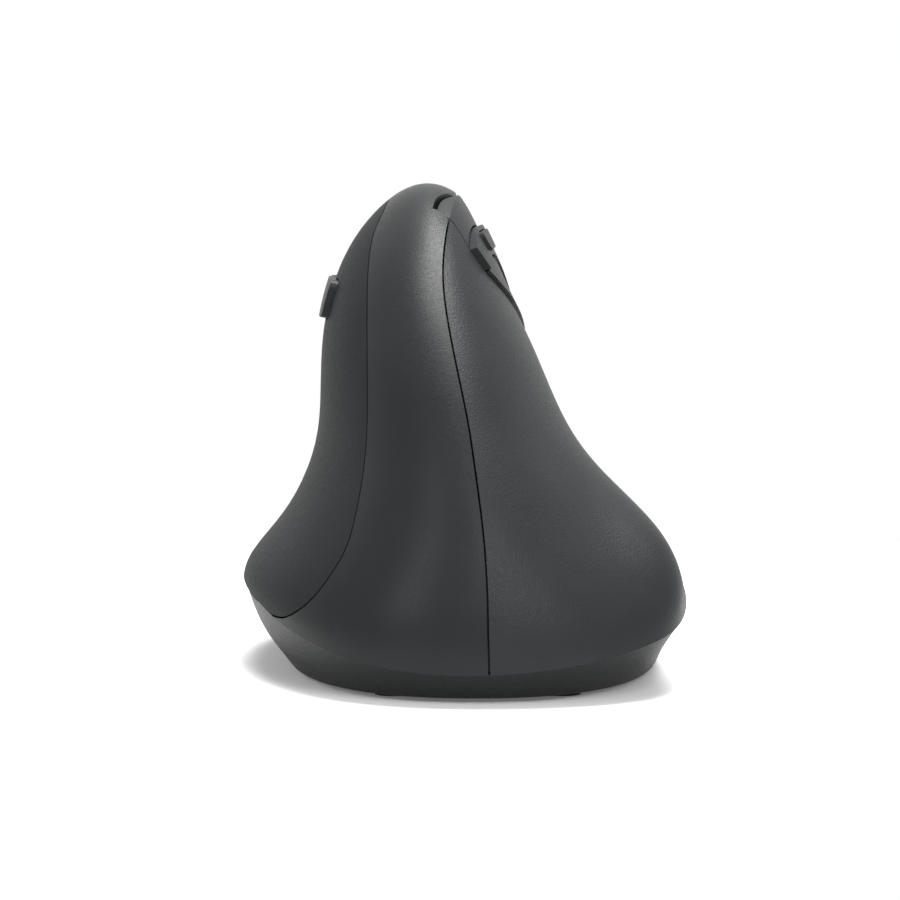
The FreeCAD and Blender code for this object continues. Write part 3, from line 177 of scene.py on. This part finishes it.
def moulded_plastic(name, base, light, grain_mm, depth_mm, roughness, specular=PLASTIC_SPECULAR):
    """Plastic from a spark-eroded mould: even colour, satin sheen, fine leather-like grain."""
    material, tree, shader = surface(name, IOR=1.53, Specular_IOR_Level=specular)
    fine = grain(tree, grain_mm, 3.0, 0.6)
    clouded(tree, shader, grain(tree, PLASTIC_CLOUD, 2.0, 0.5), base, light)
    roughened(tree, shader, fine, roughness - 0.06, roughness + 0.08)
    relief(tree, shader, fine.outputs["Fac"], depth_mm)
    return material


def plastic(name):
    """One of the plastics in the table above."""
    return moulded_plastic(name, *PLASTICS[name])


def soft_touch(name, base, light, grain_mm, depth_mm, roughness):
    """Rubber-like paint over ABS: matt, with a pebble of fine dots that catch the light."""
    material, tree, shader = surface(name, IOR=1.5, Specular_IOR_Level=PLASTIC_SPECULAR)
    place = add(tree, "ShaderNodeTexCoord")
    dots = {"feature": "SMOOTH_F1", "Scale": 1 / (grain_mm * MM), "Randomness": 1.0, "Smoothness": 0.7}
    pebble = add(tree, "ShaderNodeTexVoronoi", dots, Vector=place.outputs["Object"])
    clouded(tree, shader, grain(tree, PALM_CLOUD, 3.0, 0.55), base, light)
    roughened(tree, shader, grain(tree, grain_mm * 0.8, 2.0, 0.6), roughness - 0.08, roughness + 0.1)
    relief(tree, shader, pebble.outputs["Distance"], depth_mm)
    return material


def rubber(name, base, light):
    """Moulded silicone rubber: nearly black, matt, slightly dusty."""
    material, tree, shader = surface(name, IOR=1.45, Sheen_Weight=0.2, Sheen_Roughness=0.5)
    fine = grain(tree, 0.25, 3.0, 0.6)
    clouded(tree, shader, fine, base, light)
    roughened(tree, shader, fine, 0.62, 0.82)
    relief(tree, shader, fine.outputs["Fac"], 0.03)
    return material


def drawn_metal(name, base, light, roughness, stretch):
    """Plated metal: fine drawing lines, soft reflections."""
    material, tree, shader = surface(name, Metallic=1.0)
    lines = grain(tree, 0.3, 3.0, 0.6, stretch)
    clouded(tree, shader, lines, base, light)
    roughened(tree, shader, lines, roughness - 0.06, roughness + 0.1)
    relief(tree, shader, lines.outputs["Fac"], 0.01)
    return material


def solder_mask(name, base, light, trace):
    """Epoxy board under green lacquer, with the copper tracks showing as lighter lines."""
    material, tree, shader = surface(name, IOR=1.5, Coat_Weight=0.4, Coat_Roughness=0.15)
    place = add(tree, "ShaderNodeTexCoord")
    pattern = {"Scale": 1 / (6.0 * MM), "Mortar Size": 0.035,
               "Mortar": WHITE, "Color1": BLACK, "Color2": BLACK}
    tracks = add(tree, "ShaderNodeTexBrick", pattern, Vector=place.outputs["Object"])
    cloud = grain(tree, 3.0, 3.0, 0.6)
    ground = mixed(tree, spread(tree, cloud, 0.0, 1.0), base, light)
    tree.links.new(mixed(tree, tracks.outputs["Color"], ground, trace), shader.inputs["Base Color"])
    roughened(tree, shader, cloud, 0.28, 0.4)
    relief(tree, shader, tracks.outputs["Color"], 0.03)
    return material


def clear_lens(name, tint):
    """Injection-moulded clear acrylic, very slightly smoked."""
    material, tree, shader = surface(name, IOR=1.49, Transmission_Weight=0.9, Base_Color=linear(tint))
    roughened(tree, shader, grain(tree, 0.8, 2.0, 0.5), 0.03, 0.1)
    return material


def printed_sleeve(name, low_colour, high_colour, split_y):
    """Shrink sleeve of a battery cell: two glossy bands of plain colour that meet near one end."""
    material, tree, shader = surface(name, IOR=1.5, Coat_Weight=0.5, Coat_Roughness=0.12)
    place = add(tree, "ShaderNodeTexCoord")
    parts = add(tree, "ShaderNodeSeparateXYZ", (), Vector=place.outputs["Object"])
    blend = {"From Min": split_y - BAND_BLEND * MM, "From Max": split_y + BAND_BLEND * MM}
    edge = add(tree, "ShaderNodeMapRange", blend, Value=parts.outputs["Y"])
    tree.links.new(mixed(tree, edge.outputs["Result"], low_colour, high_colour), shader.inputs["Base Color"])
    wrinkle = grain(tree, 2.5, 3.0, 0.5)
    roughened(tree, shader, wrinkle, 0.2, 0.32)
    relief(tree, shader, wrinkle.outputs["Fac"], 0.02)
    return material


def dress(names, material, radius_mm=0.0, segments=3):
    """Gives CAD nodes a material, smooth shading and rounded edges."""
    for name in names:
        piece = nodes[name]
        piece.data.materials.clear()
        piece.data.materials.append(material)
        for face in piece.data.polygons:
            face.material_index = 0
        piece.data.set_sharp_from_angle(angle=math.radians(SHARP_FROM))
        if radius_mm:
            bevel = piece.modifiers.new("rounded edges", "BEVEL")
            bevel.width = radius_mm * MM
            bevel.segments = segments
            bevel.limit_method = "ANGLE"
            bevel.angle_limit = math.radians(ROUND_FROM)
            bevel.harden_normals = True
            bevel.use_clamp_overlap = True


class MouseSizes(bpy.types.PropertyGroup):
    """Sizes that a user may change"""
    edge_radius: bpy.props.FloatProperty(
        name="Edge radius", description="Rounding of the outer edges, in millimetres",
        default=0.22, min=0.05)
    grain_size: bpy.props.FloatProperty(
        name="Shell grain", description="Size of the moulded grain, in millimetres",
        default=0.45, min=0.1)
    pebble_size: bpy.props.FloatProperty(
        name="Grip pebble", description="Size of the palm panel's dots, in millimetres",
        default=0.34, min=0.1)
    camera_distance: bpy.props.FloatProperty(
        name="Camera distance", description="From the camera to the mouse",
        default=0.6, unit="LENGTH")
    camera_height: bpy.props.FloatProperty(
        name="Camera height", description="Angle of the camera above the desk",
        default=math.radians(5.0), subtype="ANGLE")
    lens: bpy.props.FloatProperty(name="Lens", description="Focal length", default=150.0, unit="CAMERA")


LIGHTER = "Its lighter cloud"


def colour_property(name, description, default):
    """Text property that holds a colour."""
    return bpy.props.StringProperty(name=name, description=description, default=default)


class MouseColours(bpy.types.PropertyGroup):
    """Colours that a user may change, as sRGB hex values"""
    shell: colour_property("Shell", "Satin ABS of the middle shell", "#1A1B1C")
    shell_light: colour_property("Shell, light", LIGHTER, "#1E1F20")
    thumb: colour_property("Thumb panel", "Matt ABS of the thumb side", "#1D1E1F")
    thumb_light: colour_property("Thumb panel, light", LIGHTER, "#212223")
    palm: colour_property("Palm panel", "Soft-touch coat", "#1F2021")
    palm_light: colour_property("Palm panel, light", LIGHTER, "#232425")
    button: colour_property("Buttons", "Satin ABS of the buttons", "#1B1C1D")
    button_light: colour_property("Buttons, light", LIGHTER, "#1F2021")
    trim: colour_property("Trim", "Strip between the paddles", "#18191A")
    trim_light: colour_property("Trim, light", LIGHTER, "#1B1C1D")
    base: colour_property("Base", "Lower housing", "#161718")
    base_light: colour_property("Base, light", LIGHTER, "#191A1B")
    tyre: colour_property("Wheel rubber", "Tread of the wheel", "#161616")
    tyre_light: colour_property("Wheel rubber, light", LIGHTER, "#1F1F1F")
    mask: colour_property("Solder mask", "Lacquer on the boards", "#0F4A26")


class MOUSE_OT_shells(bpy.types.Operator):
    """Satin shells, soft-touch palm panel and lower housing"""
    bl_idname = "mouse.shells"
    bl_label = "Shells"

    def execute(self, context):
        sizes, colours = context.scene.mouse_sizes, context.scene.mouse_colours
        satin = moulded_plastic("spark_eroded_abs", colours.shell, colours.shell_light, sizes.grain_size,
                                *SHELL_FINISH)
        dress(("spine_shell",), satin, sizes.edge_radius)
        matt = moulded_plastic("thumb_rest_abs", colours.thumb, colours.thumb_light, sizes.grain_size,
                               *THUMB_FINISH)
        dress(("thumb_panel",), matt, sizes.edge_radius)
        grip = soft_touch("soft_touch_coat", colours.palm, colours.palm_light, sizes.pebble_size,
                          *PALM_FINISH)
        dress(("palm_panel",), grip, sizes.edge_radius)
        lower = moulded_plastic("base_abs", colours.base, colours.base_light, *BASE_FINISH)
        dress(("base_shell", "battery_door"), lower, 0.15)
        return {"FINISHED"}


class MOUSE_OT_buttons(bpy.types.Operator):
    """Click paddles, thumb buttons, centre button and the trim between the paddles"""
    bl_idname = "mouse.buttons"
    bl_label = "Buttons"

    def execute(self, context):
        sizes, colours = context.scene.mouse_sizes, context.scene.mouse_colours
        satin = moulded_plastic("button_abs", colours.button, colours.button_light, *BUTTON_FINISH)
        dress(BUTTONS, satin, sizes.edge_radius * BUTTON_EDGE)
        trim = moulded_plastic("trim_abs", colours.trim, colours.trim_light, *TRIM_FINISH)
        dress(("centre_strip",), trim, sizes.edge_radius)
        dress(("pairing_button",), satin, 0.12)
        return {"FINISHED"}


class MOUSE_OT_wheel(bpy.types.Operator):
    """Ribbed rubber tyre, its hub and its carrier; the axle is dressed with the pins inside"""
    bl_idname = "mouse.wheel"
    bl_label = "Scroll wheel"

    def execute(self, context):
        colours = context.scene.mouse_colours
        dress(("wheel_tyre",), rubber("silicone_rubber", colours.tyre, colours.tyre_light), 0.12, 2)
        dress(("wheel_hub",), plastic("hub_abs"), 0.2)
        dress(("wheel_carrier",), plastic("natural_acetal"), 0.15)
        return {"FINISHED"}


class MOUSE_OT_inside(bpy.types.Operator):
    """Inner frame, pins, screws, switches, boards and cables"""
    bl_idname = "mouse.inside"
    bl_label = "Inside"

    def execute(self, context):
        colours = context.scene.mouse_colours
        dress(("inner_frame", "battery_tray"), plastic("glass_filled_nylon"), 0.15, 2)
        dress(SWITCHES, plastic("switch_housing"), 0.12, 2)
        dress(CAPS, plastic("plunger_acetal"), 0.08, 2)
        dress(BOARDS, solder_mask("solder_mask", colours.mask, "#125530", "#2E7A4B"), 0.05, 1)
        dress(CABLES, plastic("flat_flex_film"))
        steel = drawn_metal("plated_steel", "#B9BBBE", "#C8CACC", 0.3, (1.0, 6.0, 1.0))
        dress(PINS + SCREWS, steel, 0.06, 2)
        dress(CONTACTS, drawn_metal("nickel_strip", "#C9C6BC", "#D6D3CA", 0.28, (1.0, 1.0, 6.0)))
        return {"FINISHED"}


class MOUSE_OT_underside(bpy.types.Operator):
    """Feet, sensor and its lens, power slider, receiver and battery cell"""
    bl_idname = "mouse.underside"
    bl_label = "Underside"

    def execute(self, context):
        dress(FEET, plastic("slick_foot_pad"), 0.2)
        dress(("sensor_lens",), clear_lens("clear_acrylic", "#C9CDD2"), 0.1, 2)
        dress(("optical_sensor",), plastic("chip_package"), 0.08, 1)
        dress(("power_slider",), plastic("slider_acetal"), 0.12, 2)
        dress(("usb_receiver_cap",), plastic("receiver_abs"), 0.3)
        plug_steel = drawn_metal("plug_shell_steel", "#B4B6B9", "#C5C7CA", 0.26, (1.0, 8.0, 1.0))
        dress(("usb_receiver_plug",), plug_steel, 0.2)
        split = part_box("battery_cell")[1].y - CELL_BAND * MM
        dress(("battery_cell",), printed_sleeve("cell_sleeve", "#23272B", "#B4763A", split))
        return {"FINISHED"}


def seen_directly(tree):
    """1 for what the camera sees, also in a mirror or through glass, and 0 for light on the mouse."""
    path = add(tree, "ShaderNodeLightPath")
    share = path.outputs["Is Camera Ray"]
    for kind in ("Is Glossy Ray", "Is Transmission Ray"):
        both = add(tree, "ShaderNodeMath", {"operation": "MAXIMUM"})
        tree.links.new(share, both.inputs[0])
        tree.links.new(path.outputs[kind], both.inputs[1])
        share = both.outputs["Value"]
    return share


def area_light(name, place, size, power):
    """Soft rectangular lamp that looks at the mouse."""
    data = bpy.data.lights.new(name, "AREA")
    data.shape = "RECTANGLE"
    data.size, data.size_y = size
    data.energy = power
    lamp = bpy.data.objects.new(name, data)
    bpy.context.scene.collection.objects.link(lamp)
    lamp.location = place
    lamp.rotation_euler = (Vector(LAMP_AIM) - Vector(place)).to_track_quat("-Z", "Y").to_euler()


class MOUSE_OT_studio(bpy.types.Operator):
    """White desk and backdrop, soft lamps, and the camera behind the mouse"""
    bl_idname = "mouse.studio"
    bl_label = "Studio"

    def execute(self, context):
        scene = context.scene
        sizes = scene.mouse_sizes
        scene.view_settings.view_transform = "Standard"

        camera_data = bpy.data.cameras.new("camera")
        camera = bpy.data.objects.new("camera", camera_data)
        scene.collection.objects.link(camera)
        scene.camera = camera
        camera_data.lens = sizes.lens
        camera_data.sensor_width = CAMERA_SENSOR
        camera_data.clip_start = 0.01
        back = Vector((0.0, -math.cos(sizes.camera_height), math.sin(sizes.camera_height)))
        camera.location = Vector(CAMERA_AIM) + back * sizes.camera_distance
        camera.rotation_euler = (-back).to_track_quat("-Z", "Y").to_euler()

        bpy.ops.mesh.primitive_plane_add(size=DESK_SIDE, location=(0.0, 0.0, 0.0))
        desk = context.active_object
        desk.name = "desk"
        desk.data.materials.append(self.desk_material())

        world = bpy.data.worlds.new("studio")
        scene.world = world
        world.use_nodes = True
        tree = world.node_tree
        soft = tree.nodes["Background"]
        soft.inputs["Color"].default_value = SKY_COLOUR
        soft.inputs["Strength"].default_value = SKY_STRENGTH
        white = add(tree, "ShaderNodeBackground", {"Color": WHITE, "Strength": 1.0})
        choose = add(tree, "ShaderNodeMixShader", Fac=seen_directly(tree))
        tree.links.new(soft.outputs["Background"], choose.inputs[1])
        tree.links.new(white.outputs["Background"], choose.inputs[2])
        tree.links.new(choose.outputs["Shader"], tree.nodes["World Output"].inputs["Surface"])

        for lamp in LAMPS:
            area_light(*lamp)
        return {"FINISHED"}

    def desk_material(self):
        """White table top: it keeps the mouse's shadow and fades into the white backdrop further out."""
        material, tree, shader = surface("white_laminate", Roughness=0.7, Base_Color=linear("#F4F4F4"))
        fine = grain(tree, 1.2, 2.0, 0.5)
        relief(tree, shader, fine.outputs["Fac"], 0.01)
        glow = add(tree, "ShaderNodeEmission", {"Color": WHITE, "Strength": DESK_GLOW})
        near = add(tree, "ShaderNodeAddShader")
        tree.links.new(shader.outputs["BSDF"], near.inputs[0])
        tree.links.new(glow.outputs["Emission"], near.inputs[1])
        white = add(tree, "ShaderNodeEmission", {"Color": WHITE, "Strength": 1.0})
        place = add(tree, "ShaderNodeTexCoord")
        reach = add(tree, "ShaderNodeVectorMath", {"operation": "LENGTH"}, Vector=place.outputs["Object"])
        ramp = {"From Min": DESK_FADE[0], "From Max": DESK_FADE[1], "interpolation_type": "SMOOTHSTEP"}
        fade = add(tree, "ShaderNodeMapRange", ramp, Value=reach.outputs["Value"])
        seen = add(tree, "ShaderNodeMixShader", Fac=fade.outputs["Result"])
        tree.links.new(near.outputs["Shader"], seen.inputs[1])
        tree.links.new(white.outputs["Emission"], seen.inputs[2])
        lift = add(tree, "ShaderNodeMixShader", Fac=seen_directly(tree))
        tree.links.new(shader.outputs["BSDF"], lift.inputs[1])
        tree.links.new(seen.outputs["Shader"], lift.inputs[2])
        tree.links.new(lift.outputs["Shader"], tree.nodes["Material Output"].inputs["Surface"])
        return material


class MOUSE_PT_panel(bpy.types.Panel):
    """Sizes, colours and a button for each group of pieces"""
    bl_idname = "MOUSE_PT_panel"
    bl_label = "Ergonomic mouse"
    bl_space_type = "VIEW_3D"
    bl_region_type = "UI"
    bl_category = "Mouse"

    def draw(self, context):
        for group in (context.scene.mouse_sizes, context.scene.mouse_colours):
            for name in group.__annotations__:
                self.layout.prop(group, name)
        for operator in OPERATORS:
            self.layout.operator(operator.bl_idname)


OPERATORS = (MOUSE_OT_shells, MOUSE_OT_buttons, MOUSE_OT_wheel, MOUSE_OT_inside, MOUSE_OT_underside,
             MOUSE_OT_studio)
CLASSES = (MouseSizes, MouseColours) + OPERATORS + (MOUSE_PT_panel,)


def register():
    for item in CLASSES:
        bpy.utils.register_class(item)
    bpy.types.Scene.mouse_sizes = bpy.props.PointerProperty(type=MouseSizes)
    bpy.types.Scene.mouse_colours = bpy.props.PointerProperty(type=MouseColours)


def unregister():
    del bpy.types.Scene.mouse_colours
    del bpy.types.Scene.mouse_sizes
    for item in reversed(CLASSES):
        bpy.utils.unregister_class(item)


def main():
    """Runs every operator in order."""
    register()
    bpy.ops.mouse.shells()
    bpy.ops.mouse.buttons()
    bpy.ops.mouse.wheel()
    bpy.ops.mouse.inside()
    bpy.ops.mouse.underside()
    bpy.ops.mouse.studio()


if __name__ == "__main__":
    main()
